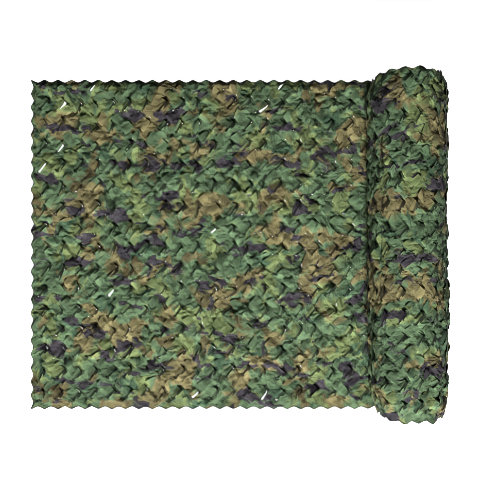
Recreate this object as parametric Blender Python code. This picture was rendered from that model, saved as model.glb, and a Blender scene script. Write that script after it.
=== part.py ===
"""Leaf-cut camouflage netting, partly unrolled: a flat loose end that runs under its own roll.

Metres, +Z up. X is the way the net unrolls (the roll lies at +X), Y runs along the roll's axis,
and the origin is the middle of the bounding box on the ground.
"""

import math
import random

import bmesh
import bpy
from mathutils import Vector

# --- driving dimensions ---------------------------------------------------------------------
NET_WIDTH = 1.500          # finished width of the net over its scallops, along Y
SHEET_LENGTH = 1.691       # loose end, from its cut edge to the line below the roll's axis
ROLL_RADIUS = 0.168        # wound cloth, without the leaves that stand out of it
SPOT_DEPTH = 0.0055        # how far the roll's weight flattens its underside
LAYER_STEP = 0.008         # radius lost over the outer turn
CLOTH = 0.003              # thickness of the cloth where it is pressed flat
LEAF_LIFT = 0.013          # how far a leaf's tip stands up from its root
GAP = 0.0003               # clearance between the loose end and the roll

# --- leaf lattice ---------------------------------------------------------------------------
CELLS_LONG = 22            # pairs of leaves along the loose end
CELLS_WIDE = 16            # pairs of leaves across the width
CELLS_ROUND = 15           # pairs of leaves round the roll
LEAF_DRIFT = 0.006         # how far a leaf's corner strays from the even lattice
LIFT_LEAST = 0.65          # the weakest leaf's share of the lift
LIFT_MOST = 1.20           # the strongest leaf's share of the lift
LEVEL_SHARE = (0.0, 0.40, 1.0)   # lift of a leaf's root, sides and tip
PRESSED_RUN = 0.135        # cloth beside the roll's axis that its curve presses flat
PRESSED_ANGLE = math.radians(42.0)   # the same on the roll, each way from straight down
FREE_ANGLE = math.radians(62.0)      # from here up, leaves on the roll stand at full lift
FLAT_LIFT = 0.05           # a share of the lift below which a corner is simply flat

# --- scalloped edges ------------------------------------------------------------------------
SCALLOP_DEPTH = 0.011      # crest to hollow
SCALLOP_CUTS = 4           # outline pieces to a scallop
LONG_EDGE_CUTS = 5         # outline pieces to a cell on the long edges
CUT_EDGE_CUTS = 6          # outline pieces to a cell on the cut edge
RIM_CUTS = 2               # outline pieces to a cell round the roll's ends
RIM_SCALLOP_CUTS = 2       # outline pieces to a scallop there

# --- see-through slits ----------------------------------------------------------------------
SLIT_COUNT = 60
SLIT_ALONG = (0.22, 0.76)   # span of a slit along the leaf's upper left side
SLIT_ACROSS = (0.12, 0.26)  # span of a slit across the leaf, from that side

# --- unevenness of the roll -----------------------------------------------------------------
SWELL = 0.004              # long swells in the roll's radius
SWELL_RATE = 3.1           # how fast they change along the roll, in radians a metre
RIPPLE_RATE = 9.0          # the same for the finer swells, half as high
RIM_DRAW = 0.010           # how far the outer turns draw in at both ends
RIM_REACH = 0.094          # length of roll over which they do
FRONT_PULL = 0.022         # extra draw at the front end, on the side of the loose end
FRONT_REACH = 0.115        # length of roll over which it fades
TURN_COUNT = 3             # main turns that show in each end of the roll
TURN_PITCH = 0.045         # radial pitch of those turns
TURN_DEPTH = 0.012         # depth of the groove between them
TURN_DRIFT = 0.4           # share of that depth by which their crests are uneven

ROOT, SIDE, TIP = range(3)
HALF_LONG = SHEET_LENGTH / (2 * CELLS_LONG)
HALF_WIDE = NET_WIDTH / (2 * CELLS_WIDE)
ROLL_GIRTH = 2 * math.pi * ROLL_RADIUS
HALF_ROUND = ROLL_GIRTH / (2 * CELLS_ROUND)
AXIS_HEIGHT = ROLL_RADIUS - SPOT_DEPTH
LAP_HEIGHT = CLOTH + GAP   # where the end of the outer turn lies on the loose end


def smooth_step(value):
    """0 below 0, 1 above 1, eased between."""
    value = min(1.0, max(0.0, value))
    return value * value * (3 - 2 * value)


def clear_scene():
    """Starts from an empty scene."""
    for old in list(bpy.data.objects):
        bpy.data.objects.remove(old, do_unlink=True)


def cloth_material(name, colour):
    """Matt woven polyester in one of the net's colours."""
    material = bpy.data.materials.new(name)
    material.use_nodes = True
    shader = material.node_tree.nodes["Principled BSDF"]
    shader.inputs["Base Color"].default_value = (*colour, 1.0)
    shader.inputs["Roughness"].default_value = 0.78
    shader.inputs["Metallic"].default_value = 0.0
    return material


class LeafNet:
    """Outer face of leaf-cut cloth, on a lattice of half cells (a along u, b along v).

    Lattice points have a + b even. Each is a corner of up to four diamond leaves, whose centres
    have a + b odd. Leaves centred in even columns point along +u, the others along -u, so the
    leaves' edges cross halfway along each cut, like the two lips of an S-shaped cut. A corner
    holds one vertex for each level at which its leaves lie: root, side and tip. Where the cloth
    is pressed flat the three are one.
    """

    def __init__(self, bm, columns, half_u, place, lift_at, scallop, cuts, seed):
        self.bm = bm
        self.columns = columns
        self.rows = 2 * CELLS_WIDE
        self.half_u = half_u
        self.place = place      # (u, v, height) to a point in space
        self.lift_at = lift_at  # u to a share of the full lift
        self.scallop = scallop  # (side, u, v) to the scalloped (u, v)
        self.cuts = cuts        # side to its outline pieces per cell
        self.rng = random.Random(seed)
        self.spot = {}
        self.lift = {}
        self.verts = {}
        for b in range(self.rows + 1):
            for a in range(b % 2, columns + 1, 2):
                self.settle_point(a, b)

    def settle_point(self, a, b):
        """Settles where a lattice point lies and how far its leaves lift."""
        u = a * self.half_u
        v = b * HALF_WIDE
        lift = self.rng.uniform(LIFT_LEAST, LIFT_MOST) * self.lift_at(u)
        drift_u = self.rng.uniform(-LEAF_DRIFT, LEAF_DRIFT)
        drift_v = self.rng.uniform(-LEAF_DRIFT, LEAF_DRIFT)
        side = self.side_of(a, b)
        if side:
            self.spot[a, b] = self.scallop(side, u, v)
            self.lift[a, b] = 0.0
        else:
            self.spot[a, b] = (u + drift_u, v + drift_v)
            self.lift[a, b] = lift if lift > FLAT_LIFT else 0.0

    def side_of(self, a, b):
        """Name of the net's side that a lattice place lies on, or None."""
        if a == 0:
            return "start"
        if a == self.columns:
            return "finish"
        if b == 0:
            return "front"
        if b == self.rows:
            return "back"
        return None

    def level(self, centre, corner):
        """Level of a leaf's corner: its tip, its root or one of its sides."""
        step = corner[0] - centre[0]
        points_on = centre[0] % 2 == 0
        return SIDE + step if points_on else SIDE - step

    def height(self, centre, corner):
        """Height of a leaf's corner above the cloth's lower face."""
        return CLOTH + LEAF_LIFT * LEVEL_SHARE[self.level(centre, corner)] * self.lift[corner]

    def vertex(self, corner, level, height):
        """The corner's vertex at this level, one for all levels where it is pressed flat."""
        key = (corner, level if self.lift[corner] else ROOT)
        if key not in self.verts:
            u, v = self.spot[corner]
            self.verts[key] = self.bm.verts.new(self.place(u, v, height))
        return self.verts[key]

    def leaf_vertex(self, centre, corner):
        """The vertex of this leaf at this corner."""
        return self.vertex(corner, self.level(centre, corner), self.height(centre, corner))

    def flat_vertex(self, corner):
        """The one vertex of a corner that is pressed flat."""
        return self.vertex(corner, ROOT, CLOTH)

    def crossing(self, first, second):
        """Vertex at which the two lips of the cut from first to second cross, if they do."""
        if not (self.lift[first] and self.lift[second]):
            return None
        first, second = sorted((first, second))
        key = (first, second)
        if key not in self.verts:
            ahead = (second[0], first[1])
            beside = (first[0], second[1])
            start, finish = self.height(ahead, first), self.height(ahead, second)
            near = start - self.height(beside, first)
            far = finish - self.height(beside, second)
            share = near / (near - far)
            u, v = (one + share * (other - one) for one, other in zip(self.spot[first], self.spot[second]))
            self.verts[key] = self.bm.verts.new(self.place(u, v, start + share * (finish - start)))
        return self.verts[key]

    def edge_run(self, first, second):
        """Outline vertices from one lattice point on the net's edge to the next, ends included."""
        side = self.side_of((first[0] + second[0]) // 2, (first[1] + second[1]) // 2)
        cuts = self.cuts[side]
        run = [self.flat_vertex(first)]
        for cut in range(1, cuts):
            a, b = (one + (other - one) * cut / cuts for one, other in zip(first, second))
            key = (side, round(a, 3), round(b, 3))
            if key not in self.verts:
                u, v = self.scallop(side, a * self.half_u, b * HALF_WIDE)
                self.verts[key] = self.bm.verts.new(self.place(u, v, CLOTH))
            run.append(self.verts[key])
        run.append(self.flat_vertex(second))
        return run

    def side_verts(self, side):
        """All outline vertices along one side, in order."""
        if side in ("start", "finish"):
            column = 0 if side == "start" else self.columns
            points = [(column, b) for b in range(0, self.rows + 1, 2)]
        else:
            row = 0 if side == "front" else self.rows
            points = [(a, row) for a in range(0, self.columns + 1, 2)]
        run = [self.flat_vertex(points[0])]
        for first, second in zip(points, points[1:]):
            run += self.edge_run(first, second)[1:]
        return run

    def corners(self, centre):
        """A leaf's corners in turn: right, top, left, bottom, with None where it is cut off."""
        a, b = centre
        places = ((a + 1, b), (a, b + 1), (a - 1, b), (a, b - 1))
        return [place if place in self.spot else None for place in places]

    def add_leaf(self, centre):
        """One leaf: a tilted diamond, or half of one along the net's edge."""
        corners = self.corners(centre)
        if None in corners:
            missing = corners.index(None)
            apex = self.leaf_vertex(centre, corners[missing - 2])
            run = self.edge_run(corners[missing - 1], corners[(missing + 1) % 4])
            for one, other in zip(run, run[1:]):
                self.bm.faces.new((apex, one, other))
            return
        ring = []
        for corner, following in zip(corners, corners[1:] + corners[:1]):
            ring.append(self.leaf_vertex(centre, corner))
            ring.append(self.crossing(corner, following))
        self.bm.faces.new([vert for vert in ring if vert])

    def add_slit_leaf(self, centre):
        """A leaf with a see-through slit beside its upper left side, where the cut stands open."""
        right, top, left, bottom = self.corners(centre)
        frame = [left, bottom, right, top]
        slit = []
        for across, along in ((0, 0), (1, 0), (1, 1), (0, 1)):
            s, t = SLIT_ACROSS[across], SLIT_ALONG[along]
            weights = ((1 - s) * (1 - t), s * (1 - t), s * t, (1 - s) * t)
            u = sum(weight * self.spot[corner][0] for weight, corner in zip(weights, frame))
            v = sum(weight * self.spot[corner][1] for weight, corner in zip(weights, frame))
            height = sum(weight * self.height(centre, corner) for weight, corner in zip(weights, frame))
            slit.append(self.bm.verts.new(self.place(u, v, height)))
        for index, corner in enumerate(frame):
            after = (index + 1) % 4
            ring = [
                self.leaf_vertex(centre, corner),
                self.crossing(corner, frame[after]),
                self.leaf_vertex(centre, frame[after]),
                slit[after],
                slit[index],
            ]
            self.bm.faces.new([vert for vert in ring if vert])

    def add_lips(self):
        """Upright slivers of cloth between the two lips of every cut."""
        for first in self.spot:
            for rise in (-1, 1):
                second = (first[0] + 1, first[1] + rise)
                if second not in self.spot:
                    continue
                ahead = (second[0], first[1])
                beside = (first[0], second[1])
                meet = self.crossing(first, second)
                for point, opposite in ((first, second), (second, first)):
                    if self.lift[point]:
                        lips = (self.leaf_vertex(ahead, point), self.leaf_vertex(beside, point))
                        self.bm.faces.new((*lips, meet or self.flat_vertex(opposite)))

    def centres(self):
        """The centres of all leaves, row by row."""
        for b in range(self.rows + 1):
            for a in range((b + 1) % 2, self.columns + 1, 2):
                yield a, b

    def whole_lifted_leaves(self):
        """Centres of the leaves that are whole and lifted at every corner."""
        return [
            centre for centre in self.centres()
            if None not in self.corners(centre) and all(self.lift[corner] for corner in self.corners(centre))
        ]

    def build(self, slit_leaves=()):
        """Adds every leaf and every lip."""
        for centre in self.centres():
            if centre in slit_leaves:
                self.add_slit_leaf(centre)
            else:
                self.add_leaf(centre)
        self.add_lips()


def finish_object(name, bm, material):
    """Turns a closed bmesh into a named object with its material."""
    bmesh.ops.recalc_face_normals(bm, faces=bm.faces)
    bmesh.ops.triangulate(bm, faces=bm.faces, quad_method="BEAUTY", ngon_method="BEAUTY")
    mesh = bpy.data.meshes.new(name)
    bm.to_mesh(mesh)
    bm.free()
    mesh.materials.append(material)
    piece = bpy.data.objects.new(name, mesh)
    bpy.context.scene.collection.objects.link(piece)
    return piece


def scallop_hollow(distance, cell, cell_cuts, scallop_cuts):
    """Depth of the scalloped edge at this distance along it: nothing at a crest."""
    pitch = cell / cell_cuts * scallop_cuts
    return 0.5 * SCALLOP_DEPTH * (1 - math.cos(2 * math.pi * distance / pitch))


def sheet_place(u, v, height):
    """A point of the loose end, whose far edge butts against the roll's outer turn."""
    return Vector((u - SHEET_LENGTH - GAP, v - NET_WIDTH / 2, height))


def sheet_lift(u):
    """Leaves stand free on the loose end, but for the stretch under the roll."""
    return 1.0 if u < SHEET_LENGTH - PRESSED_RUN else 0.0


def sheet_scallop(side, u, v):
    """Scallops of the loose end: on its cut edge and its two long edges."""
    if side == "start":
        return (u + scallop_hollow(v, 2 * HALF_WIDE, CUT_EDGE_CUTS, SCALLOP_CUTS), v)
    if side == "finish":
        return (u, v)
    hollow = scallop_hollow(u, 2 * HALF_LONG, LONG_EDGE_CUTS, SCALLOP_CUTS)
    return (u, v + hollow if side == "front" else v - hollow)


def roll_radius(angle, v):
    """Radius of the wound cloth: one lost layer a turn, long swells and drawn-in ends."""
    spiral = ROLL_RADIUS - LAYER_STEP * angle / (2 * math.pi)
    swell = SWELL * math.sin(SWELL_RATE * v + 1.2) * math.sin(angle + 0.6)
    ripple = 0.5 * SWELL * math.sin(RIPPLE_RATE * v + 2 * angle)
    drawn = RIM_DRAW * (1 - smooth_step(min(v, NET_WIDTH - v) / RIM_REACH))
    facing_sheet = max(0.0, -math.sin(angle)) ** 2
    pulled = FRONT_PULL * facing_sheet * (1 - smooth_step(v / FRONT_REACH))
    return spiral + swell + ripple - drawn - pulled


def roll_place(u, v, height):
    """A point of the roll, from the ground below its axis, out to +X, over and back down."""
    angle = u / ROLL_RADIUS
    radius = roll_radius(angle, v) + height - CLOTH
    ground = 0.0 if angle < math.pi else LAP_HEIGHT
    z = max(ground, AXIS_HEIGHT - radius * math.cos(angle))
    return Vector((radius * math.sin(angle), v - NET_WIDTH / 2, z))


def roll_lift(u):
    """Leaves stand free on the roll, but for its underside."""
    from_ground = min(u, ROLL_GIRTH - u) / ROLL_RADIUS
    return smooth_step((from_ground - PRESSED_ANGLE) / (FREE_ANGLE - PRESSED_ANGLE))


def roll_scallop(side, u, v):
    """Scallops of the outer turn at the roll's two ends."""
    if side in ("start", "finish"):
        return (u, v)
    hollow = scallop_hollow(u, 2 * HALF_ROUND, RIM_CUTS, RIM_SCALLOP_CUTS)
    return (u, v + hollow if side == "front" else v - hollow)


def close_underside(bm):
    """Drops a wall from every open rim to the ground and fills the flat underside."""
    rims = [edge for edge in bm.edges if edge.is_boundary]
    wall = bmesh.ops.extrude_edge_only(bm, edges=rims)["geom"]
    for part in wall:
        if isinstance(part, bmesh.types.BMVert):
            part.co.z = 0.0
    lower = [part for part in wall if isinstance(part, bmesh.types.BMEdge) and part.is_boundary]
    bmesh.ops.triangle_fill(bm, edges=lower, use_beauty=True, use_dissolve=False)


def build_sheet(material):
    """The loose end: flat underneath, leaves on top, scalloped on its three free sides."""
    bm = bmesh.new()
    cuts = {"start": CUT_EDGE_CUTS, "finish": 1, "front": LONG_EDGE_CUTS, "back": LONG_EDGE_CUTS}
    net = LeafNet(bm, 2 * CELLS_LONG, HALF_LONG, sheet_place, sheet_lift, sheet_scallop, cuts, seed=11)
    slit_leaves = random.Random(23).sample(net.whole_lifted_leaves(), SLIT_COUNT)
    net.build(set(slit_leaves))
    close_underside(bm)
    return finish_object("netting_loose_end", bm, material)


def add_turns(bm, rim, outward):
    """Closes an end of the roll with a spiral of rounded turns, from the rim to the middle.

    rim is the end's outline, from the outer turn's start to where it has come full circle.
    Each further point of the spiral repeats the outline's point one turn before, nearer the
    middle. The grooves between the turns lie deeper than the turns' crests.
    """
    rng = random.Random(51)
    around = len(rim) - 1
    steps = TURN_COUNT * around
    face_y = outward * NET_WIDTH / 2
    floor_y = face_y - outward * TURN_DEPTH

    groove = list(rim)
    for step in range(1, steps + 1):
        base = rim[(step - 1) % around + 1].co
        share = 1 - step / around * TURN_PITCH / ROLL_RADIUS
        z = AXIS_HEIGHT + (base.z - AXIS_HEIGHT) * share
        groove.append(bm.verts.new(Vector((base.x * share, floor_y, z))))
    crest = []
    for step in range(1, steps + 1):
        middle = (groove[step].co + groove[step + around].co) / 2
        middle.y = face_y + outward * TURN_DEPTH * rng.uniform(-TURN_DRIFT, TURN_DRIFT)
        crest.append(bm.verts.new(middle))

    bm.faces.new((groove[0], groove[1], crest[0]))
    bm.faces.new((groove[0], crest[0], groove[around + 1], groove[around]))
    for step in range(1, steps):
        outer, inner = crest[step - 1], crest[step]
        bm.faces.new((groove[step], groove[step + 1], inner, outer))
        bm.faces.new((outer, inner, groove[step + around + 1], groove[step + around]))

    core = bm.verts.new(Vector((0.0, floor_y, AXIS_HEIGHT)))
    ring = groove[steps:] + [crest[-1]]
    for one, other in zip(ring, ring[1:] + ring[:1]):
        bm.faces.new((one, other, core))


def build_roll(material):
    """The roll: one solid whose outer turn starts on the ground and laps over the loose end."""
    bm = bmesh.new()
    cuts = {"start": 1, "finish": 1, "front": RIM_CUTS, "back": RIM_CUTS}
    net = LeafNet(bm, 2 * CELLS_ROUND, HALF_ROUND, roll_place, roll_lift, roll_scallop, cuts, seed=37)
    net.build()
    start, finish = net.side_verts("start"), net.side_verts("finish")
    for index in range(len(start) - 1):
        bm.faces.new((start[index], start[index + 1], finish[index + 1], finish[index]))
    add_turns(bm, net.side_verts("front"), outward=-1.0)
    add_turns(bm, net.side_verts("back"), outward=1.0)
    return finish_object("netting_roll", bm, material)


def centre_on_origin(pieces):
    """Moves the pieces together so that their bounding box is centred on the origin in X and Y."""
    points = [vert.co for piece in pieces for vert in piece.data.vertices]
    for axis in (0, 1):
        low = min(point[axis] for point in points)
        high = max(point[axis] for point in points)
        for piece in pieces:
            piece.location[axis] = -(low + high) / 2


def main():
    """Builds the loose end and the roll, side by side on the ground."""
    clear_scene()
    sheet = build_sheet(cloth_material("leaf_green", (0.10, 0.15, 0.06)))
    roll = build_roll(cloth_material("leaf_olive", (0.13, 0.14, 0.07)))
    centre_on_origin((sheet, roll))


main()
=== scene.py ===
import logging
import math
import random
from dataclasses import dataclass, field
from enum import Enum
from typing import Any, Callable

import bmesh
import bpy
from bmesh.types import BMEdge, BMesh, BMFace, BMLayerItem, BMVert
from bpy.types import Material, Node, NodeOutputs, NodeSocket, NodeTree, Object, ShaderNodeTree
from mathutils import Matrix, Vector, noise


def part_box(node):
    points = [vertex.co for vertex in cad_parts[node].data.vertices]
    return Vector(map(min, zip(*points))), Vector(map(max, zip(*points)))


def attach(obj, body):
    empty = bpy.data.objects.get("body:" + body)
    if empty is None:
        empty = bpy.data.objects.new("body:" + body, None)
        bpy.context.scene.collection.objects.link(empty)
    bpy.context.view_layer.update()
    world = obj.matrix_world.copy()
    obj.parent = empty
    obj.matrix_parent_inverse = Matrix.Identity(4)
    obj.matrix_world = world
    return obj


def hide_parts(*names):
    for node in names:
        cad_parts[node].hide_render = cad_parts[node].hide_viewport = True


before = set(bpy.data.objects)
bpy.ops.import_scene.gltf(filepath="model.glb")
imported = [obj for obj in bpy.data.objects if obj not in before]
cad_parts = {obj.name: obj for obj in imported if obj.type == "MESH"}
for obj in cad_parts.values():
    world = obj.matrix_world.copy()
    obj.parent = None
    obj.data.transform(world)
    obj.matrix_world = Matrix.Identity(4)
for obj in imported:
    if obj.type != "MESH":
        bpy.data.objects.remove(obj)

LOG = logging.getLogger("netting")
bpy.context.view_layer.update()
SHEET_NODE = "netting_loose_end"
ROLL_NODE = "netting_roll"
NET_WIDTH = 1.500  # over the scallops, along the roll
REPEAT = 2  # half cells to a repeat of the lattice
WELD = 1e-4  # places nearer than this are one
ON_LINE = 0.01  # places this near to a line of the lattice lie on it
CRISP = math.radians(22.0)  # folds sharper than this aren't smoothed
FULL_TURN = 2.0 * math.pi
THICKNESS = 0.0008  # of the leaf-cut cloth

Range = tuple[float, float]
Triple = tuple[float, float, float]
Home = tuple[int, int, int, bool]  # strip, leaf and way of a flap, and whether it is on the flap


class Layer(Enum):
    """The data that a cloth's mesh hands to its finish."""

    PRINT = "flat_cloth"  # place on the whole flat net, in metres
    SHADE = "cut_edge"  # painted shade beside the cuts, standing for the flaps' shadows and dark gaps; the outline and rims are darkened in it too
    TONE = "leaf_tone"  # how light it is elsewhere: tone at random, with painted highlights on brims and free edges


class Turn(Enum):
    """The leaf-cut turns of the roll, by how many turns lie outside them."""

    OUTERMOST = 0
    UNDER = 1


def smooth_step(value: float) -> float:
    """0 below 0, 1 above 1, eased between."""
    value = min(1.0, max(0.0, value))
    return value * value * (3.0 - 2.0 * value)


def blend(low: float, high: float, share: float) -> float:
    """The value at this share of the way from low to high."""
    return low + (high - low) * share


def fading(distance: float, reach: float) -> float:
    """1 at no distance, falling to 0 at this reach."""
    return max(0.0, 1.0 - (distance / reach) ** 2)


def wave(depth: float, distance: float, pitch: float) -> float:
    """How deep a wavy outline is at this distance along it."""
    return 0.5 * depth * (1.0 - math.cos(FULL_TURN * distance / pitch))


def to_edge(v: float) -> float:
    """Distance to the nearer long side of the net, in metres."""
    return min(v, NET_WIDTH - v)


def diagonals(a: float, b: float) -> tuple[float, float]:
    """A place given along and across the net, on the cuts' diagonals."""
    return (a + b) / 2, (a - b) / 2


@dataclass(frozen=True)
class LeafHabit:
    """How the leaves of a stretch of netting lie, in metres."""

    brim: Range = (0.003, 0.014)  # of a ribbon's edge that lies over a flap's end
    gap: Range = (0.003, 0.008)  # from that edge down to the flap
    open_rise: Range = (0.000, 0.004)  # of a flap's end that lies over the next ribbon
    twist: Range = (0.001, 0.013)  # of a flap's longer side over its shorter one
    lap: Range = (0.005, 0.010)  # of a flap over what lies past its end
    slit: Range = (0.004, 0.006)  # how far a flap that stands open is drawn back
    slit_share: float = 0.6  # of that for the ribbon past its end
    tucked: Range = (0.85, 0.15)  # share of flaps under a brim, in shade and in light
    rounding: float = 0.002  # of a flap's corners
    skew: float = 0.008  # of a flap's end line, either way
    spread: float = 1.095  # a flap's width over its cut's
    sway: float = 0.006  # of a flap sideways
    dome: float = 0.004  # height of a flap's middle
    shift: float = 0.020  # of the dye on a flap against the cloth round it
    drift: float = 0.011  # of the cloth from its lattice
    flow: float = 0.016  # of whole groups of leaves from it
    flow_scale: float = 5.0
    swell: float = 0.020  # height of the cloth's folds
    wrinkle: float = 0.008  # height of the wrinkles
    wrinkle_swing: float = 1.4  # how unevenly they stand
    wrinkle_plan: tuple[Range, ...] = ((0.5, 19.0), (0.45, 43.0), (0.1, 97.0))  # share and scale
    rest: float = 0.0  # height of the cloth's mean face
    ceiling: float = 0.060  # height that no leaf reaches


@dataclass(frozen=True)
class LeafTonesAndPaintedLight:
    """How dark the painted shade is beside the cuts, and how light the cloth is elsewhere, with painted
    highlights.
    """

    in_shade: Range = (0.65, 1.0)  # painted shade round the flaps in shade
    in_light: Range = (0.15, 0.8)  # and round the others
    past_end: float = 0.6  # share of it past a flap that lies on top
    shorter: Range = (0.6, 0.9)  # shares of it beside a flap's shorter side
    longer_lean: float = 0.2  # how much it leans to a flap's longer side
    end_reach: float = 1.1  # steps that it reaches from a flap's end
    side_reach: float = 1.3  # from its sides
    past_reach: float = 1.4  # and from its sides, on past its end
    outline: float = 0.55  # darkness of the stretch's own outline
    free_edge_highlight: float = 0.42  # how much lighter a free edge is: a painted highlight
    brim: float = 0.45  # how much lighter a brim is: a painted highlight
    flap: Range = (0.05, 0.95)  # lightness of a flap, at random, on the whole a little above the cloth between: partly painted light
    mean: float = 0.42  # and of the cloth between the flaps
    cloud: float = 0.35  # how far it changes from place to place
    cloud_scale: float = 14.0
    crumple: float = 0.34  # how far it changes within a leaf
    crumple_scale: Range = (2.6, 3.4)
    crumple_seed: float = 9.0


@dataclass(frozen=True)
class Flap:
    """One half of a leaf: free at its end, along one side, and partly along the other."""

    slit: float
    rise: float
    brim: float
    twist: float
    lap: float
    sway: float
    skew: float  # of its end line, ahead at its longer side
    at_end: float  # how dark the painted shade lies at its end
    past_end: float  # past it
    longer: float  # beside its longer side
    shorter: float  # and beside its shorter one
    tone: float
    shift: Range


@dataclass
class LeafCloth:
    """A stretch of cloth cut into two-ended leaves, with zigzag bands of whole cloth between.

    The flat cloth is measured in half cells, a along the net and b across it, and on the
    diagonals s = (a + b) / 2 and t = (a - b) / 2. Leaves lie in strips one unit wide in s, two
    units apart along t, and those of the next strip are one unit further on. Each leaf hangs
    on the bands by a short web on either side of its middle; its two flaps point along +t
    and -t, and a ribbon crosses the strip between the ends of two leaves. A flap, with the
    ribbon past its end, is known by its strip, its leaf and its way, which is 1 or -1.
    """

    cells_long: int
    cells_wide: int
    half_long: float  # a half cell along the net, in metres
    half_wide: float  # and one across it
    seed: int
    habit: LeafHabit
    tones_and_painted_light: LeafTonesAndPaintedLight = LeafTonesAndPaintedLight()
    steps: int = 7  # of the mesh to a unit of the lattice
    thickness: float = THICKNESS
    plain_border: float = 0.5  # uncut cloth along the outline, in half cells
    calm_border: float = 0.8  # cloth along it that strays less
    calm_lift: float = 0.55  # share of its height that it keeps
    open_share: float = 0.0  # of the flaps in shade that stand open
    shaded: int = 1  # the way that the flaps with the deeper painted shade point
    evenness: float = 0.45  # how far a flap keeps to one dye
    heart: float = 0.4  # from a leaf's middle to the heart of a flap's dye
    long_cut: float = 0.5  # steps from a leaf's middle to the start of a flap's longer side
    short_cut: float = 2.5  # and to that of its shorter side
    brim_slope: float = 3.5  # how steeply a brim rises from its ends
    brim_highlight_slope: float = 7.0  # how fast its painted highlight grows from there
    lift_at: Callable[[float, float], float] = lambda u, v: 1.0
    trim: Callable[[float, float], Range] = lambda u, v: (0.0, 0.0)
    shade_at: Callable[[float, float], float] = lambda u, v: 0.0
    flaps: dict[tuple[int, int, int], Flap] = field(default_factory=dict)
    corners: dict[tuple[int, int], Vector] = field(default_factory=dict)

    @property
    def step(self) -> float:
        """One step of the mesh on the lattice."""
        return 1.0 / self.steps

    @property
    def end(self) -> float:
        """Distance of a flap's end from its leaf's middle, on the lattice."""
        return 0.5 + self.step

    @property
    def side_length(self) -> float:
        """Length of one unit of s or t, in metres."""
        return math.hypot(self.half_long, self.half_wide)

    def _random(self, kind: str, *place: int) -> random.Random:
        """A source of chance that depends only on the seed, the kind and the place."""
        return random.Random(f"{self.seed}:{kind}:{place}")

    def corner(self, i: int, j: int) -> Vector:
        """How far the cloth strays at a lattice point: along, across and up."""
        if (i, j) not in self.corners:
            source, habit = self._random("corner", i, j), self.habit
            self.corners[i, j] = Vector((
                source.uniform(-habit.drift, habit.drift),
                source.uniform(-habit.drift, habit.drift),
                source.uniform(0.0, habit.swell),
            ))
        return self.corners[i, j]

    def flap(self, strip: int, leaf: int, way: int) -> Flap:
        """The flap that points this way, with all that is left to chance settled."""
        key = strip, leaf, way
        if key in self.flaps:
            return self.flaps[key]
        source, habit, tones_and_painted_light = self._random("flap", *key), self.habit, self.tones_and_painted_light
        in_shade = way == self.shaded
        tucked = source.random() < (habit.tucked[0] if in_shade else habit.tucked[1])
        brim = source.uniform(*habit.brim) if tucked else 0.0
        slit = source.uniform(*habit.slit) if in_shade and source.random() < self.open_share else 0.0
        low, high = tones_and_painted_light.in_shade if in_shade else tones_and_painted_light.in_light
        self.flaps[key] = Flap(
            slit=slit,
            rise=max(0.0, brim - source.uniform(*habit.gap)) if tucked else source.uniform(*habit.open_rise),
            brim=brim,
            twist=source.uniform(*habit.twist),
            lap=-slit if slit else source.uniform(*habit.lap),
            sway=source.uniform(-habit.sway, habit.sway),
            skew=source.uniform(-habit.skew, habit.skew),
            at_end=source.uniform(low, high) if tucked else 0.0,
            past_end=0.0 if tucked else tones_and_painted_light.past_end * source.uniform(low, high),
            longer=source.uniform(low, high),
            shorter=source.uniform(tones_and_painted_light.shorter[0] * low, tones_and_painted_light.shorter[1] * high),
            tone=source.uniform(*tones_and_painted_light.flap),
            shift=(source.uniform(-habit.shift, habit.shift), source.uniform(-habit.shift, habit.shift)),
        )
        return self.flaps[key]

    def flat_tile(self) -> BMesh:
        """One repeat of the lattice, flat and uncut, in half cells."""
        tile = bmesh.new()
        bmesh.ops.create_grid(tile, x_segments=2 * self.steps, y_segments=2 * self.steps, size=1.0)
        slant = Matrix(((1, 1, 0, 1), (1, -1, 0, 1), (0, 0, 1, 0), (0, 0, 0, 1)))
        bmesh.ops.transform(tile, matrix=slant, verts=tile.verts)
        bmesh.ops.reverse_faces(tile, faces=tile.faces)
        near, far = (0, 0, 0), (REPEAT, REPEAT, 0)
        for place, normal in ((near, (-1, 0, 0)), (far, (1, 0, 0)), (near, (0, -1, 0)), (far, (0, 1, 0))):
            parts = tile.verts[:] + tile.edges[:] + tile.faces[:]
            bmesh.ops.bisect_plane(tile, geom=parts, dist=WELD, plane_co=place, plane_no=normal, clear_outer=True)
        return tile

    def flat_cloth(self) -> BMesh:
        """The whole stretch, flat and uncut, in half cells."""
        cloth = self.flat_tile()
        for count, way in ((self.cells_wide, Vector((0, 1, 0))), (self.cells_long, Vector((1, 0, 0)))):
            source = cloth.verts[:] + cloth.edges[:] + cloth.faces[:]
            for index in range(1, count):
                copy = bmesh.ops.duplicate(cloth, geom=source)["geom"]
                moved = [part for part in copy if isinstance(part, BMVert)]
                bmesh.ops.translate(cloth, verts=moved, vec=way * REPEAT * index)
            bmesh.ops.remove_doubles(cloth, verts=cloth.verts, dist=WELD)
        rim = [edge for edge in cloth.edges if edge.is_boundary]
        bmesh.ops.subdivide_edges(cloth, edges=rim, cuts=1)
        return cloth

    def to_side(self, a: float, b: float) -> float:
        """Distance to the nearest side of the cloth, in half cells."""
        return min(a, REPEAT * self.cells_long - a, b, REPEAT * self.cells_wide - b)

    @staticmethod
    def home(s: float, t: float) -> tuple[int, int, int]:
        """The strip, the leaf and the way of the flap or ribbon at a place on the lattice."""
        strip = math.floor(s)
        leaf = round((t - 0.5 - strip) / 2)
        return strip, leaf, 1 if t - 0.5 - strip - 2 * leaf > 0 else -1

    @staticmethod
    def seen_from(strip: int, leaf: int, way: int, s: float, t: float) -> tuple[float, float]:
        """A place on the lattice as a flap has it: across it from 0 to 1, and out from its leaf's middle."""
        across, out = s - strip, (t - 0.5 - strip - 2 * leaf) * way
        return (across if way > 0 else 1.0 - across), out

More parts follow.
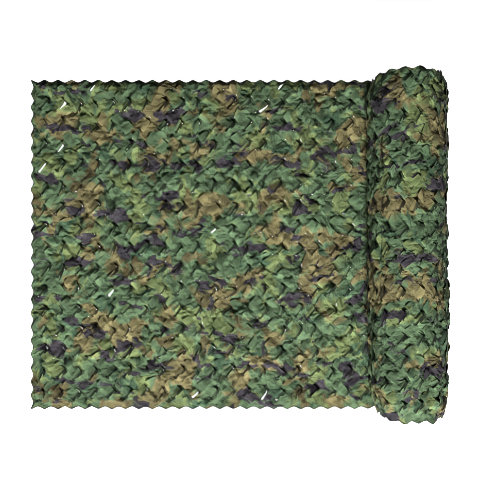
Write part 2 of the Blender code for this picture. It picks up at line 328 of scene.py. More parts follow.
    def is_cut(self, edge: BMEdge) -> bool:
        """Whether the knife runs along this edge of the flat cloth."""
        one, other = (vert.co for vert in edge.verts)
        middle = (one + other) / 2
        if self.to_side(middle.x, middle.y) < self.plain_border:
            return False
        s, t = diagonals(middle.x, middle.y)
        across, out = self.seen_from(*self.home(s, t), s, t)
        if abs((one.x - one.y) - (other.x - other.y)) < ON_LINE:  # along a flap's end
            return abs(out - self.end) < ON_LINE and self.step < across < 1.0 - self.step
        longer = abs(across - 1.0 + self.step) < ON_LINE and out > self.long_cut * self.step
        shorter = abs(across - self.step) < ON_LINE and out > self.short_cut * self.step
        return (longer or shorter) and out < self.end

    def freedom(self, across: float, out: float) -> tuple[float, float]:
        """How free a place on a flap is, from 0 at its hinge to 1 at its end, and where it is across it."""
        w = (across - 0.5) / (0.5 - self.step)
        hinge = self.step * blend(self.short_cut, self.long_cut, (w + 1.0) / 2.0)
        return max(0.0, (out - hinge) / (self.end - hinge)), w

    def strayed(self, s: float, t: float, u: float, v: float) -> Vector:
        """How far the whole cloth strays, apart from its flaps and brims.

        Args:
            s, t: the place on the lattice.
            u, v: the same place in metres.

        Returns:
            The way along, across and up.
        """
        i, j, habit = math.floor(s), math.floor(t), self.habit
        p, q = s - i, t - j
        stray = self.corner(i, j) * (1 - p) * (1 - q) + self.corner(i + 1, j) * p * (1 - q)
        stray += self.corner(i, j + 1) * (1 - p) * q + self.corner(i + 1, j + 1) * p * q
        spot, apart = Vector((u, v, self.seed)), Vector((9, 9, 9))
        flow = spot * habit.flow_scale
        stray += habit.flow * Vector((noise.noise(flow), noise.noise(flow + apart), 0.0))
        wrinkle = sum(share * noise.noise(spot * scale) for share, scale in habit.wrinkle_plan)
        stray.z += habit.wrinkle * (1.0 + habit.wrinkle_swing * wrinkle)
        return stray

    def flap_carried(self, flap: Flap, across: float, out: float) -> Vector:
        """How far a flap carries a point: ahead, aside and up."""
        k, w = self.freedom(across, out)
        half = (0.5 - self.step) * self.side_length
        aside = w * half * (self.habit.spread - 1.0) * smooth_step(2.0 * k) + flap.sway * k * k
        dome = self.habit.dome * (1.0 - w * w) * smooth_step(3.0 * k)
        up = (flap.rise + flap.twist * w) * smooth_step(k) + dome
        ahead = flap.lap * k * k + flap.skew * w * k - self.habit.rounding * abs(w * k) ** 4
        return Vector((ahead, aside, up))

    def brim_share(self, across: float, out: float, slope: float) -> float:
        """How far the ribbon past a flap's end is brim: 1 at that end, 0 at its far side and its ends."""
        past = 1.0 - (out - self.end) / (2.0 - 2.0 * self.end)
        if not 0.0 < past < 1.0 + ON_LINE:
            return 0.0
        return past * smooth_step(slope * min(across, 1.0 - across))

    def brim_carried(self, flap: Flap, across: float, out: float) -> Vector:
        """How far the ribbon past a flap's end is carried: ahead, aside and up."""
        share = self.brim_share(across, out, self.brim_slope)
        return Vector((self.habit.slit_share * flap.slit * share * share, 0.0, flap.brim * share))

    def shade(self, flap: Flap, on_flap: bool, across: float, out: float) -> float:
        """How dark the painted shade lies beside a flap's cuts, in place of its shadows and gaps.

        Args:
            flap: the flap that is cut free there.
            on_flap: whether the place is on the flap itself.
            across, out: the place as the flap has it.

        Returns:
            The darkness, from 0 to 1.
        """
        tones_and_painted_light = self.tones_and_painted_light
        _, w = self.freedom(across, out)
        past = (out - self.end) / self.step
        if on_flap:
            in_sight = min(0.0, past + 0.5 * flap.lap / (self.side_length * self.step))
            lean = 1.0 - tones_and_painted_light.longer_lean + tones_and_painted_light.longer_lean * w
            return flap.at_end * lean * fading(in_sight, tones_and_painted_light.end_reach)
        if abs(w) < 1.0 - ON_LINE:
            return flap.past_end * fading(past, tones_and_painted_light.end_reach) if past > -0.5 else 0.0
        beside = (abs(across - 0.5) - 0.5) / self.step + 1.0
        share = fading(beside, tones_and_painted_light.side_reach) * max(0.0, 1.0 - max(0.0, past) / tones_and_painted_light.past_reach)
        if w > 0:
            return flap.longer * share * smooth_step(out / self.step)
        return flap.shorter * share * smooth_step((out - 2.0 * self.step) / (1.5 * self.step))

    def lay_print(self, face: BMFace, home: Home, layer: BMLayerItem, start: float) -> None:
        """Gives a face its place on the printed net, where a flap is drawn in to its heart and shifted.

        Args:
            face, home: the face, still in half cells, and where it belongs.
            layer: holds the place.
            start: of the stretch on the whole net, in metres.
        """
        strip, leaf, way, on_flap = home
        flap = self.flap(strip, leaf, way)
        heart_s, heart_t = strip + 0.5, strip + 2 * leaf + 0.5 + self.heart * way
        for loop in face.loops:
            a, b = loop.vert.co.x, loop.vert.co.y
            freed = 0.0
            if on_flap:
                k, _ = self.freedom(*self.seen_from(strip, leaf, way, *diagonals(a, b)))
                freed = smooth_step(2.0 * k)
            a += self.evenness * freed * (heart_s + heart_t - a)
            b += self.evenness * freed * (heart_s - heart_t - b)
            loop[layer].uv = (
                start + a * self.half_long + flap.shift[0] * freed,
                b * self.half_wide + flap.shift[1] * freed,
            )

    def settle(self, vert: BMVert, owners: set[Home], shade: BMLayerItem, tone: BMLayerItem) -> Vector:
        """Gives a point of the flat cloth its painted shade and its tone with painted highlights, and finds its
        place on the laid cloth.

        Args:
            vert, owners: the point, still in half cells, and where the faces round it belong.
            shade, tone: the layers for its painted shade, and for its tone with painted highlights.

        Returns:
            Its place along, across and above the laid cloth, in metres.
        """
        habit, tones_and_painted_light = self.habit, self.tones_and_painted_light
        a, b = vert.co.x, vert.co.y
        s, t = diagonals(a, b)
        u, v = a * self.half_long, b * self.half_wide
        inward = self.to_side(a, b)
        among_cuts = inward > self.plain_border
        calm = smooth_step(inward / self.calm_border)
        stray = self.strayed(s, t, u, v)
        mean = tones_and_painted_light.mean + tones_and_painted_light.cloud * noise.noise(Vector((u, v, self.seed)) * tones_and_painted_light.cloud_scale)
        by_s, by_t = tones_and_painted_light.crumple_scale
        crumple = tones_and_painted_light.crumple * noise.noise(Vector((s * by_s, t * by_t, self.seed + tones_and_painted_light.crumple_seed)))
        for strip, leaf, way, on_flap in owners:
            flap = self.flap(strip, leaf, way)
            across, out = self.seen_from(strip, leaf, way, s, t)
            if on_flap:
                moved = self.flap_carried(flap, across, out)
            else:
                facing = self.flap(strip, leaf + way, -way)
                other = self.brim_carried(facing, 1.0 - across, 2.0 - out)
                moved = self.brim_carried(flap, across, out) + Vector((-other.x, -other.y, other.z))
            ahead, aside, up = moved / len(owners)
            stray.x += way * (ahead + aside) * self.half_long / self.side_length
            stray.y += way * (aside - ahead) * self.half_wide / self.side_length
            stray.z += up
            # painted shade beside the cuts, for the shadows and gaps that the flaps make
            painted_shade_here = self.shade(flap, on_flap, across, out) if among_cuts else 0.0
            # painted highlight on a free edge
            light = tones_and_painted_light.free_edge_highlight * (1.0 - painted_shade_here) if vert.is_boundary and among_cuts else 0.0
            if on_flap:
                k, _ = self.freedom(across, out)
                own = blend(mean, flap.tone, smooth_step(2.0 * k))
            # the cloth between the flaps, with a painted highlight along the brims
            elif way == self.shaded:
                own = mean + tones_and_painted_light.brim * self.brim_share(across, out, self.brim_highlight_slope)
            else:
                own = mean + tones_and_painted_light.brim * self.brim_share(1.0 - across, 2.0 - out, self.brim_highlight_slope)
            vert[tone] += (own + light + crumple) / len(owners)
            vert[shade] += painted_shade_here / len(owners)
        vert[shade] = tones_and_painted_light.outline if inward < WELD else max(vert[shade], self.shade_at(u, v))
        height = habit.ceiling * math.tanh(stray.z / habit.ceiling) * blend(self.calm_lift, 1.0, calm)
        x, y = u + stray.x * calm, v + stray.y * calm
        cut = self.trim(u, v)
        return Vector((x + cut[0], y + cut[1], habit.rest + height * self.lift_at(x, y)))

    def build(self, name: str, wrap: Callable[[Vector], Vector], start: float) -> Object:
        """Makes the cut, lifted and wrapped cloth.

        Args:
            name: the piece's name.
            wrap: (along, across, up) on the laid cloth to a point in space.
            start: of the stretch on the whole net, in metres.

        Returns:
            The object, without a material.
        """
        cloth = self.flat_cloth()
        bmesh.ops.split_edges(cloth, edges=[edge for edge in cloth.edges if self.is_cut(edge)])
        prints = cloth.loops.layers.uv.new(Layer.PRINT.value)
        shade = cloth.verts.layers.float.new(Layer.SHADE.value)
        tone = cloth.verts.layers.float.new(Layer.TONE.value)
        homes: dict[BMFace, Home] = {}
        for face in cloth.faces:
            middle = face.calc_center_median()
            s, t = diagonals(middle.x, middle.y)
            strip, leaf, way = self.home(s, t)
            across, out = self.seen_from(strip, leaf, way, s, t)
            homes[face] = strip, leaf, way, self.step < across < 1.0 - self.step and out < self.end
            self.lay_print(face, homes[face], prints, start)
        placed = []
        for vert in cloth.verts:
            owners = {homes[face] for face in vert.link_faces}
            placed.append(wrap(self.settle(vert, owners, shade, tone)))
        for vert, point in zip(cloth.verts, placed):
            vert.co = point
        return finish_cloth(name, cloth, self.thickness)


def finish_cloth(name: str, cloth: BMesh, thickness: float) -> Object:
    """Gives an open cloth its thickness and turns it into an object.

    Args:
        name: the piece's name.
        cloth: its outer face, with open rims.
        thickness: of the cloth, added behind that face.

    Returns:
        The object, linked to the scene.
    """
    cloth.normal_update()
    down = cloth.verts.layers.float_vector.new("down")
    for vert in cloth.verts:
        vert[down] = -vert.normal * thickness
    lower = bmesh.ops.extrude_face_region(cloth, geom=cloth.faces[:])["geom"]
    for part in lower:
        if isinstance(part, BMVert):
            part.co += part[down]
    cloth.verts.layers.float_vector.remove(cloth.verts.layers.float_vector["down"])
    bmesh.ops.recalc_face_normals(cloth, faces=cloth.faces)
    mesh = bpy.data.meshes.new(name)
    cloth.to_mesh(mesh)
    cloth.free()
    mesh.shade_smooth()
    mesh.set_sharp_from_angle(angle=CRISP)
    piece = bpy.data.objects.new(name, mesh)
    bpy.context.scene.collection.objects.link(piece)
    LOG.info("%s: %d faces", name, len(mesh.polygons))
    return piece


@dataclass(frozen=True)
class Scallops:
    """The net's wavy outline."""

    depth: float = 0.011
    reach: float = 0.034  # how far in the cloth follows the outline

    def hollow(self, distance: float, pitch: float, inward: float) -> float:
        """How far the outline draws a point in, at this distance along it and inward of it."""
        return wave(self.depth, distance, pitch) * max(0.0, 1.0 - inward / self.reach)

    def across(self, distance: float, pitch: float, v: float) -> float:
        """How far the outlines of both long sides move a point across the net."""
        return self.hollow(distance, pitch, v) - self.hollow(distance, pitch, NET_WIDTH - v)


@dataclass
class LooseEnd:
    """The unrolled stretch of netting, flat on the floor."""

    cells_long: int = 22
    cells_wide: int = 16
    seed: int = 7
    pressed: float = 0.135  # breadth beside the roll's axis that it presses flat
    pressed_lift: float = 0.06  # share of the height that is left there
    pressed_ease: float = 0.06  # breadth over which it comes back
    beside_roll: float = 0.195  # breadth that lies in the roll's painted shade
    painted_roll_shade: float = 0.28  # how dark the painted shade is there
    roll_ease: float = 0.030  # breadth over which that begins
    side_pitch: float = 0.0615  # of the scallops along the long sides
    end_pitch: float = 0.0625  # of those on the cut end
    hems: Range = (0.110, 0.070)  # breadth of the front and the back hem
    painted_hem_shade: float = 0.30  # how dark the painted shade on their leaves is
    hem_slope: float = 2.0  # how fast that begins
    ragged: float = 0.012  # how far the edge of the shade strays
    ragged_hem: float = 8.0  # how much more that of the hems does
    ragged_scale: float = 20.0
    ragged_seed: float = 5.0
    open_share: float = 0.035

    def build(self) -> Object:
        """Makes the loose end, up to the line under the roll's axis."""
        low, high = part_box(SHEET_NODE)
        length, scallops = high.x - low.x, Scallops()

        def lift_at(u: float, v: float) -> float:
            return blend(self.pressed_lift, 1.0, smooth_step((length - self.pressed - u) / self.pressed_ease))

        def wrap(point: Vector) -> Vector:
            return Vector((low.x + point.x, point.y - NET_WIDTH / 2, max(0.0, point.z) + THICKNESS))

        def trim(u: float, v: float) -> Range:
            return scallops.hollow(v, self.end_pitch, u), scallops.across(u, self.side_pitch, v)

        # painted shade beside the roll, and painted shade darker towards the hems
        def shade_at(u: float, v: float) -> float:
            spot = Vector((u * self.ragged_scale, v * self.ragged_scale, self.ragged_seed))
            ragged = self.ragged * noise.noise(spot)
            hem = max(1.0 - v / self.hems[0], 1.0 - (NET_WIDTH - v) / self.hems[1])
            return max(
                self.painted_roll_shade * smooth_step((u - length + self.beside_roll + ragged) / self.roll_ease),
                self.painted_hem_shade * smooth_step(self.hem_slope * (hem + self.ragged_hem * ragged)),
            )

        cloth = LeafCloth(
            self.cells_long,
            self.cells_wide,
            length / (REPEAT * self.cells_long),
            NET_WIDTH / (REPEAT * self.cells_wide),
            self.seed,
            LeafHabit(),
            open_share=self.open_share, lift_at=lift_at, trim=trim, shade_at=shade_at,
        )
        return cloth.build(SHEET_NODE + "_cloth", wrap, 0.0)


@dataclass(frozen=True)
class RollForm:
    """The wound cloth's shape: a loose spiral, flattened underneath and drawn in at its ends."""

    radius: float = 0.168
    axis_height: float = 0.1625
    layer_step: float = 0.008  # from one turn in to the next
    pressed_step: float = 0.25  # share of that which is left underneath
    swell: float = 0.004  # of the turns in and out
    swell_wave: Triple = (3.1, 1.2, 0.6)  # radians a metre across, start across and round
    ripple: float = 0.5  # height of the ripples on it, as a share
    ripple_wave: Range = (9.0, 2.0)  # radians a metre across, and to a radian round
    rim_draw: float = 0.010  # of the ends, in to the axis
    rim_reach: float = 0.094
    front_pull: float = 0.022  # the same, in front, towards the loose end
    front_reach: float = 0.115
    sheet_draw: float = 0.040  # of the ends along the roll, towards the loose end
    outer_draw: float = 0.020  # the same, on the far side
    draw_reach: float = 0.200
    lap: float = 0.0036  # height of the pressed loose end
    stretch: float = 1.014  # of the wound cloth across the net
    slip: float = -0.003  # of the roll along its axis

    @property
    def girth(self) -> float:
        """Length of the outermost turn."""
        return FULL_TURN * self.radius

    def turn_radius(self, angle: float, v: float) -> float:
        """Radius at this angle from straight down, counted on through the turns."""
        spiral = self.radius - self.layer_step * angle / FULL_TURN
        along, shift, turned = self.swell_wave
        swell = self.swell * math.sin(along * v + shift) * math.sin(angle + turned)
        along, turned = self.ripple_wave
        ripple = self.ripple * self.swell * math.sin(along * v + turned * angle)
        drawn = self.rim_draw * (1.0 - smooth_step(to_edge(v) / self.rim_reach))
        facing_sheet = max(0.0, -math.sin(angle)) ** 2
        pulled = self.front_pull * facing_sheet * (1.0 - smooth_step(v / self.front_reach))
        return spiral + swell + ripple - drawn - pulled

    def place(self, axis_x: float, angle: float, v: float, height: float) -> Vector:
        """Finds a point on the wound cloth or above it.

        Args:
            axis_x: the roll's axis.
            angle: from straight down, counted on through the turns.
            v, height: place across the flat net, and above the cloth's mean face.

        Returns:
            The point in space.
        """
        radius = self.turn_radius(angle, v) + height
        turned = angle % FULL_TURN
        ground = 0.0 if angle < math.pi else self.lap
        ground += self.layer_step * self.pressed_step * (angle // FULL_TURN)
        z = max(ground, self.axis_height - radius * math.cos(turned))
        beside = (radius / self.radius) * math.sin(turned)
        drawn = (self.sheet_draw if beside < 0 else self.outer_draw) * abs(beside) ** 3
        drawn *= 1.0 - smooth_step(to_edge(v) / self.draw_reach)
        y = (v - NET_WIDTH / 2) * self.stretch + self.slip - math.copysign(drawn, v - NET_WIDTH / 2)
        return Vector((axis_x + radius * math.sin(turned), y, z))


TURN_PLANS = {  # how the leaves lie, and steps of the mesh
    Turn.OUTERMOST: (LeafHabit(rest=-0.002, swell=0.010, wrinkle=0.004, ceiling=0.028), 7),
    Turn.UNDER: (LeafHabit(
        brim=(0.001, 0.003), gap=(0.0, 0.001), open_rise=(0.001, 0.003), twist=(0.0, 0.001), dome=0.001,
        rest=-0.003, swell=0.004, wrinkle=0.002, ceiling=0.008,
    ), 5),
}


@dataclass
class LeafTurns:
    """The outer turns of the roll, which are leaf-cut."""

    form: RollForm = RollForm()
    cells_round: int = 15
    cells_wide: int = 16
    seed: int = 31  # of the outermost turn
    pressed_angle: float = math.radians(42.0)  # up to which the leaves lie flat
    free_angle: float = math.radians(62.0)  # and from which they stand free
    pressed_lift: float = 0.05  # share of the height that is left to the flat ones
    rim_pitch: float = 0.0704  # of the scallops
    ragged: float = 0.015  # how far the ends stray along the roll
    ragged_reach: float = 0.070
    ragged_scale: float = 13.0
    ragged_seed: float = 9.0
    painted_side_shade: Range = (0.14, 0.9)  # mean darkness of the painted shade on the roll's sides, and its change
    crease_scale: Triple = (60.0, 13.0, 3.0)  # of that painted shade: round, across, and the seed
    side_shade_span: Range = (0.30, 0.50)  # where it begins, and over what breadth

    def build(self, axis_x: float, start: float, turn: Turn) -> Object:
        """Makes one leaf-cut turn.

        Args:
            axis_x: the roll's axis.
            start: of the outermost turn on the whole net, in metres.
            turn: which turn.

        Returns:
            The object, without a material.
        """
        form, girth, order = self.form, self.form.girth, turn.value
        scallops, (habit, steps) = Scallops(), TURN_PLANS[turn]

        def lift_at(u: float, v: float) -> float:
            from_ground = min(u, girth - u) / form.radius
            freed = (from_ground - self.pressed_angle) / (self.free_angle - self.pressed_angle)
            return blend(self.pressed_lift, 1.0, smooth_step(freed))

        def wrap(point: Vector) -> Vector:
            angle = (point.x + order * girth) / form.radius
            return form.place(axis_x, angle, NET_WIDTH - point.y, point.z)

        def trim(u: float, v: float) -> Range:
            spot = Vector((u * self.ragged_scale, self.ragged_seed * order, round(v / NET_WIDTH)))
            ragged = self.ragged * noise.noise(spot)
            near_end = 1.0 - smooth_step(to_edge(v) / self.ragged_reach)
            return 0.0, scallops.across(u, self.rim_pitch, v) + ragged * near_end

        # painted shade on the roll's sides, darkest where they face sideways
        def shade_at(u: float, v: float) -> float:
            mean, change = self.painted_side_shade
            begin, ease = self.side_shade_span
            spot = Vector((u * self.crease_scale[0], v * self.crease_scale[1], self.crease_scale[2]))
            shaded_side = mean + change * noise.noise(spot)
            return shaded_side * smooth_step((abs(math.sin(u / form.radius)) - begin) / ease)

        cloth = LeafCloth(
            self.cells_round,
            self.cells_wide,
            girth / (REPEAT * self.cells_round),
            NET_WIDTH / (REPEAT * self.cells_wide),
            self.seed + order,
            habit,
            steps=steps, shaded=-1, lift_at=lift_at, trim=trim, shade_at=shade_at,
        )
        return cloth.build(f"{ROLL_NODE}_turn_{order + 1}", wrap, start + order * girth)


@dataclass
class InnerTurns:
    """The plain turns within the leaf-cut ones, down to the middle of the roll."""

    form: RollForm = RollForm()
    core: float = 0.010  # radius that stays free in the middle
    columns_apart: float = 0.012  # of the mesh, along the cloth
    rows: int = 12  # of the mesh, across the net
    crowding: float = 2.2  # how much closer the rows lie at the ends
    thickness: float = 0.0010  # of one turn
    tone: float = 0.4
    end_reach: float = 0.05  # how far in the ends are uneven
    end_draw: float = 0.004  # how far they lie within the leaf-cut turns
    scallop: Range = (0.013, 0.0615)  # depth and pitch
    stray: float = 0.009  # of the ends along the roll
    stray_scale: Triple = (0.9, 3.0, 4.0)  # round, across, and the seed
    bulge: float = 0.0028  # of a turn in and out
    bulge_scale: Triple = (6.0, 0.3, 7.0)  # round, from turn to turn, and across
    bulge_within: float = 0.4  # share of it away from the ends

    @property
    def outer(self) -> float:
        """Radius of the outermost of these turns."""
        return self.form.radius - len(Turn) * self.form.layer_step

    @property
    def length(self) -> float:
        """Length of these turns, in metres."""
        turns = (self.outer - self.core) / self.form.layer_step
        return FULL_TURN * ((self.outer + self.core) / 2) * turns

    def settle(self, axis_x: float, run: float, across: float) -> tuple[Vector, float]:
        """Finds the place of a point of the wound cloth.

        Args:
            axis_x: the roll's axis.
            run: distance along the cloth from the start of these turns.
            across: place across the mesh while its rows are even, from -1 to 1.

        Returns:
            The point in space, and its place across the flat net in metres.
        """
        pitch = self.form.layer_step
        side = math.copysign(1.0 - (1.0 - abs(across)) ** self.crowding, across)
        radius = math.sqrt(self.outer * self.outer - run * pitch / math.pi)
        angle = len(Turn) * FULL_TURN + FULL_TURN * (self.outer - radius) / pitch
        v = NET_WIDTH / 2 * (1.0 + side)
        near_end = smooth_step(1.0 - to_edge(v) / self.end_reach)
        hollow = wave(self.scallop[0], run, self.scallop[1]) * near_end
        turned, aside, seed = self.stray_scale
        stray = self.stray * noise.noise(Vector((angle * turned, side * aside, seed))) * near_end
        turned, inward, aside = self.bulge_scale
        spot = Vector((math.cos(angle) * turned, math.sin(angle) * turned + angle * inward, side * aside))
        bulge = self.bulge * noise.noise(spot) * (self.bulge_within + near_end)
        point = self.form.place(axis_x, angle, v, bulge)
        point.y -= math.copysign(hollow - stray + self.end_draw, side)
        return point, v

    def build(self, axis_x: float, start: float) -> Object:
        """Makes the inner turns.

        Args:
            axis_x: the roll's axis.
            start: of these turns on the whole net, in metres.

        Returns:
            The object, without a material.
        """
        cloth = bmesh.new()
        columns = int(self.length / self.columns_apart)
        bmesh.ops.create_grid(cloth, x_segments=columns, y_segments=self.rows, size=0.5)
        prints = cloth.loops.layers.uv.new(Layer.PRINT.value)
        shade = cloth.verts.layers.float.new(Layer.SHADE.value)
        tone = cloth.verts.layers.float.new(Layer.TONE.value)
        for vert in cloth.verts:
            run = (vert.co.x + 0.5) * self.length
            vert.co, v = self.settle(axis_x, run, vert.co.y * 2.0)
            # its rims are darkened in the painted shade layer
            vert[shade] = 1.0 if vert.is_boundary else 0.0
            vert[tone] = self.tone
            for loop in vert.link_loops:
                loop[prints].uv = (start + run, v)
        bmesh.ops.reverse_faces(cloth, faces=cloth.faces)
        return finish_cloth(ROLL_NODE + "_inner_turns", cloth, self.thickness)


def feed(tree: NodeTree, node: Node, inputs: dict[str | int, Any]) -> None:
    """Gives a node its inputs: a value is set, and a socket is linked."""
    for key, given in inputs.items():
        if isinstance(given, NodeSocket):
            tree.links.new(given, node.inputs[key])
        else:
            node.inputs[key].default_value = given


def add_node(tree: NodeTree, kind: str, inputs: dict[str | int, Any], **settings: Any) -> NodeOutputs:
    """Adds a node.

    Args:
        tree, kind: where it goes, and its type without "ShaderNode".
        inputs: what each input gets: a value, or the socket that it is linked to.
        settings: the node's own options.

    Returns:
        Its outputs.
    """
    node = tree.nodes.new(f"ShaderNode{kind}")
    for setting, value in settings.items():
        setattr(node, setting, value)
    feed(tree, node, inputs)
    return node.outputs


def reckon(tree: NodeTree, operation: str, *given: Any) -> NodeSocket:
    """Adds a sum of values or sockets and returns its result."""
    return add_node(tree, "Math", dict(enumerate(given)), operation=operation)["Value"]


def ranged(tree: NodeTree, value: NodeSocket, way: str, limits: tuple, **settings: Any) -> NodeSocket:
    """Maps a value from or to a range, as the way says, and returns the result."""
    inputs = {"Value": value, f"{way} Min": limits[0], f"{way} Max": limits[1]}
    return add_node(tree, "MapRange", inputs, **settings)["Result"]


@dataclass(frozen=True)
class Dye:
    """One dye and how its patches lie."""

    SOCKETS = ("Stretch", "Offset", "Scale", "Level", "Edge")

    colour: Triple
    stretch: Triple  # of the patches, the less the longer
    offset: Triple
    scale: float  # the more, the finer the patches
    level: float  # of the noise that is dyed, the more the rarer
    edge: float  # softness of their edges


@dataclass(frozen=True)
class DyedClothWithPaintedLight:
    """Matt woven cloth, printed in a woodland pattern of soft-edged patches, with painted shade and highlights.
    """

    name: str = "dyed_cloth_painted_light"
    ground: Triple = (0.0385, 0.062, 0.0315)
    pale_green: Dye = Dye((0.064, 0.083, 0.032), (1.0, 0.9, 1.0), (3.1, 0.2, 0.0), 8.0, 0.52, 0.05)
    deep_green: Dye = Dye((0.0225, 0.042, 0.023), (1.0, 0.9, 1.0), (7.7, 4.1, 0.0), 7.5, 0.57, 0.05)
    tan: Dye = Dye((0.076, 0.066, 0.0295), (0.9, 0.85, 1.0), (1.7, 9.3, 0.0), 6.5, 0.535, 0.045)
    brown: Dye = Dye((0.0485, 0.041, 0.018), (0.9, 0.85, 1.0), (1.9, 9.1, 0.0), 6.8, 0.59, 0.05)
    black: Dye = Dye((0.018, 0.016, 0.019), (0.7, 1.3, 1.0), (5.3, 2.9, 0.0), 10.0, 0.567, 0.035)
    patch_noise: Triple = (4.0, 0.58, 0.35)  # its detail, roughness and distortion
    roughness: float = 0.85
    gloss: float = 0.10
    fold_scale: float = 32.0  # small folds in a metre
    fold_randomness: float = 0.65
    fold_turn: float = math.radians(45.0)  # of the folds, to lie as the cuts do
    fold_height: float = 2.9  # of the folds, beside the creases
    fold_painted_light: Range = (0.75, 1.28)  # painted light and shade of a small fold, at random: how dark and how light it can be
    tone_and_highlight_range: Range = (0.68, 1.44)  # and a leaf's tone, painted highlights included
    shade_band: Range = (0.16, 0.56)  # painted shade beside the cuts, from none to full
    shade_depth: float = 0.84  # share of the colour that it takes away
    stir_scale: float = 70.0
    stir_detail: float = 3.0
    stir: Triple = (0.012, 0.012, 0.0)  # how far the creases are stirred
    crease_scale: float = 75.0  # creases in a metre
    relief: float = 0.0025  # height of folds and creases, in metres

    def patch_group(self) -> ShaderNodeTree:
        """Node group: one dye laid over another in soft-edged patches."""
        tree = bpy.data.node_groups.new("DyePatches", "ShaderNodeTree")
        for kind, labels in (
            ("Color", ("Under", "Dye")),
            ("Vector", ("Cloth", "Stretch", "Offset")),
            ("Float", ("Scale", "Level", "Edge")),
        ):
            for label in labels:
                tree.interface.new_socket(label, in_out="INPUT", socket_type=f"NodeSocket{kind}")
        tree.interface.new_socket("Color", in_out="OUTPUT", socket_type="NodeSocketColor")
        given = tree.nodes.new("NodeGroupInput").outputs
        reach = {0: given["Cloth"], 1: given["Stretch"], 2: given["Offset"]}
        spot = add_node(tree, "VectorMath", reach, operation="MULTIPLY_ADD")
        look = dict(zip(("Detail", "Roughness", "Distortion"), self.patch_noise))
        cloud = add_node(tree, "TexNoise", {"Vector": spot["Vector"], "Scale": given["Scale"], **look})
        upper = reckon(tree, "ADD", given["Level"], given["Edge"])
        mask = ranged(tree, cloud["Fac"], "From", (given["Level"], upper), interpolation_type="SMOOTHSTEP")
        laid = {"Factor": mask, "A": given["Under"], "B": given["Dye"]}
        mix = add_node(tree, "Mix", laid, data_type="RGBA")
        feed(tree, tree.nodes.new("NodeGroupOutput"), {"Color": mix["Result"]})
        return tree

    def build(self) -> Material:
        """Makes the material."""
        material = bpy.data.materials.new(self.name)
        material.use_nodes = True
        tree = material.node_tree
        flat = add_node(tree, "UVMap", {}, uv_map=Layer.PRINT.value)["UV"]
        patches = self.patch_group()
        colour: Any = (*self.ground, 1.0)
        for dye in (self.pale_green, self.deep_green, self.tan, self.brown, self.black):
            lie = {key: getattr(dye, key.lower()) for key in Dye.SOCKETS}
            inputs = {"Under": colour, "Dye": (*dye.colour, 1.0), "Cloth": flat, **lie}
            colour = add_node(tree, "Group", inputs, node_tree=patches)["Color"]
        folds = self.small_folds(tree, flat)
        feed(tree, tree.nodes["Principled BSDF"], {
            "Roughness": self.roughness,
            "Specular IOR Level": self.gloss,
            "Base Color": self.paint_tone_and_light(tree, colour, folds["Color"]),
            "Normal": self.crumpled(tree, flat, folds["Distance"]),
        })
        return material

    def small_folds(self, tree: NodeTree, flat: NodeSocket) -> NodeOutputs:
        """Small square facets, lying as the cuts do, that the leaves are folded into."""
        turned = add_node(tree, "Mapping", {"Vector": flat, "Rotation": (0.0, 0.0, self.fold_turn)})
        lie = {"Vector": turned["Vector"], "Scale": self.fold_scale, "Randomness": self.fold_randomness}
        return add_node(tree, "TexVoronoi", lie, voronoi_dimensions="2D", distance="CHEBYCHEV")

    def paint_tone_and_light(self, tree: NodeTree, colour: NodeSocket, folds: NodeSocket) -> NodeSocket:
        """Tones the dyed cloth and paints its light and shade.

        Args:
            tree, colour: the material's nodes, and the dyed cloth's colour.
            folds: a colour for each small fold, for its painted light.

        Returns:
            The colour with the leaves' tone and painted highlights, the folds' painted light, and the painted
            shade beside the cuts.
        """
        shade = add_node(tree, "Attribute", {}, attribute_name=Layer.SHADE.value)
        narrow = ranged(tree, shade["Fac"], "From", self.shade_band, interpolation_type="SMOOTHSTEP")
        tone = add_node(tree, "Attribute", {}, attribute_name=Layer.TONE.value)
        leaf = ranged(tree, tone["Fac"], "To", self.tone_and_highlight_range, clamp=False)
        # a painted light or shade for each small fold, standing for its tilt
        one_fold = add_node(tree, "SeparateColor", {"Color": folds})
        painted_light_share = reckon(tree, "MULTIPLY", leaf, ranged(tree, one_fold["Red"], "To", self.fold_painted_light))
        left = reckon(tree, "MULTIPLY_ADD", narrow, -self.shade_depth, 1.0)
        both = reckon(tree, "MULTIPLY", painted_light_share, left)
        return add_node(tree, "VectorMath", {0: colour, "Scale": both}, operation="SCALE")["Vector"]

    def crumpled(self, tree: NodeTree, flat: NodeSocket, folds: NodeSocket) -> NodeSocket:
        """Gives the cloth its small folds and creases.

        Args:
            tree, flat: the material's nodes, and the place on the flat cloth.
            folds: distance from the middle of a small fold.

        Returns:
            The surface's normal.
        """
        fine = {"Vector": flat, "Scale": self.stir_scale, "Detail": self.stir_detail}
        stir = add_node(tree, "TexNoise", fine)
        moved = {0: stir["Color"], 1: self.stir, 2: flat}
        stirred = add_node(tree, "VectorMath", moved, operation="MULTIPLY_ADD")
        creases = add_node(tree, "TexVoronoi", {"Vector": stirred["Vector"], "Scale": self.crease_scale})
        crumple = reckon(tree, "ADD", creases["Distance"], stir["Fac"])
        height = reckon(tree, "MULTIPLY_ADD", folds, self.fold_height, crumple)
        bump = add_node(tree, "Bump", {"Height": height, "Strength": 1.0, "Distance": self.relief})
        return bump["Normal"]


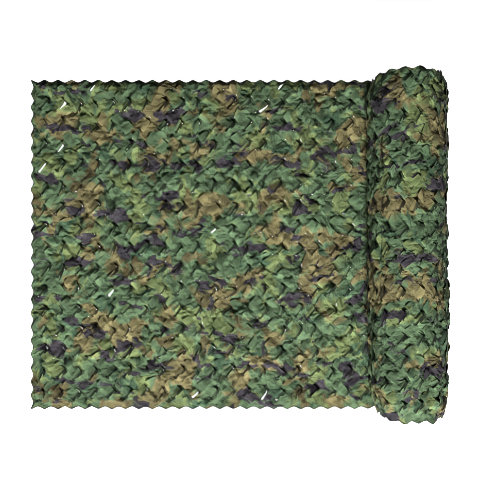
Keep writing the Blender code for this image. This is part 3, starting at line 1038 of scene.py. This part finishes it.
@dataclass(frozen=True)
class Studio:
    """The pale floor, the soft light and the camera straight above."""

    camera_place: Triple = (0.0615, -0.025, 4.49)
    focal_share: float = 982.0 / 500.0  # focal length over the sensor
    sensor: float = 36.0  # width, in millimetres
    filter_width: float = 0.55  # of the picture's pixels
    floor_size: float = 6.0  # half its side
    floor_grey: float = 0.15
    floor_roughness: float = 0.9
    floor_glow: float = 0.99
    sky: float = 0.09  # strength of the even light
    key_place: Triple = (0.3, -7.2, 4.2)
    key_size: float = 0.7
    key_power: float = 3650.0  # in watts

    def build(self) -> None:
        """Makes the floor, light, world and camera."""
        scene = bpy.context.scene
        scene.view_settings.view_transform = "Standard"
        scene.view_settings.look = "None"
        scene.cycles.filter_width = self.filter_width
        self.floor()
        world = bpy.data.worlds.new("studio")
        world.use_nodes = True
        background = world.node_tree.nodes["Background"]
        feed(world.node_tree, background, {"Color": (1.0, 1.0, 1.0, 1.0), "Strength": self.sky})
        scene.world = world
        self.key()
        camera = bpy.data.objects.new("camera", bpy.data.cameras.new("camera"))
        camera.data.sensor_width = self.sensor
        camera.data.lens = self.focal_share * self.sensor
        camera.location = self.camera_place
        scene.collection.objects.link(camera)
        scene.camera = camera

    def floor(self) -> None:
        """Makes the floor, which glows so that it is nearly white."""
        bm = bmesh.new()
        bmesh.ops.create_grid(bm, x_segments=1, y_segments=1, size=self.floor_size)
        mesh = bpy.data.meshes.new("floor")
        bm.to_mesh(mesh)
        bm.free()
        floor = bpy.data.objects.new("floor", mesh)
        bpy.context.scene.collection.objects.link(floor)
        material = bpy.data.materials.new("pale_floor")
        material.use_nodes = True
        feed(material.node_tree, material.node_tree.nodes["Principled BSDF"], {
            "Base Color": (self.floor_grey, self.floor_grey, self.floor_grey, 1.0),
            "Roughness": self.floor_roughness,
            "Emission Color": (1.0, 1.0, 1.0, 1.0),
            "Emission Strength": self.floor_glow,
        })
        mesh.materials.append(material)

    def key(self) -> None:
        """Makes the square soft light, which faces the netting."""
        lamp = bpy.data.lights.new("key", "AREA")
        lamp.size = self.key_size
        lamp.energy = self.key_power
        light = bpy.data.objects.new("key", lamp)
        light.location = self.key_place
        light.rotation_euler = (-Vector(self.key_place)).to_track_quat("-Z", "Y").to_euler()
        bpy.context.scene.collection.objects.link(light)


def dress(piece: Object, material: Material, node: str) -> None:
    """Gives a piece its finish and its place in the frame."""
    piece.data.materials.append(material)
    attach(piece, "root")
    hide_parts(node)


def main() -> None:
    """Builds the netting around its frame and reports each piece."""
    logging.basicConfig(level=logging.INFO, format="%(message)s")
    Studio().build()
    cloth = DyedClothWithPaintedLight().build()
    sheet = LooseEnd().build()
    dress(sheet, cloth, SHEET_NODE)
    low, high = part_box(SHEET_NODE)
    length = high.x - low.x
    roll = LeafTurns()
    for turn in Turn:
        piece = roll.build(high.x, length, turn)
        dress(piece, cloth, ROLL_NODE)
    inner_turns = InnerTurns(roll.form)
    inner, run = inner_turns.build(high.x, length + len(Turn) * roll.form.girth), inner_turns.length
    dress(inner, cloth, ROLL_NODE)


if __name__ == "__main__":
    main()
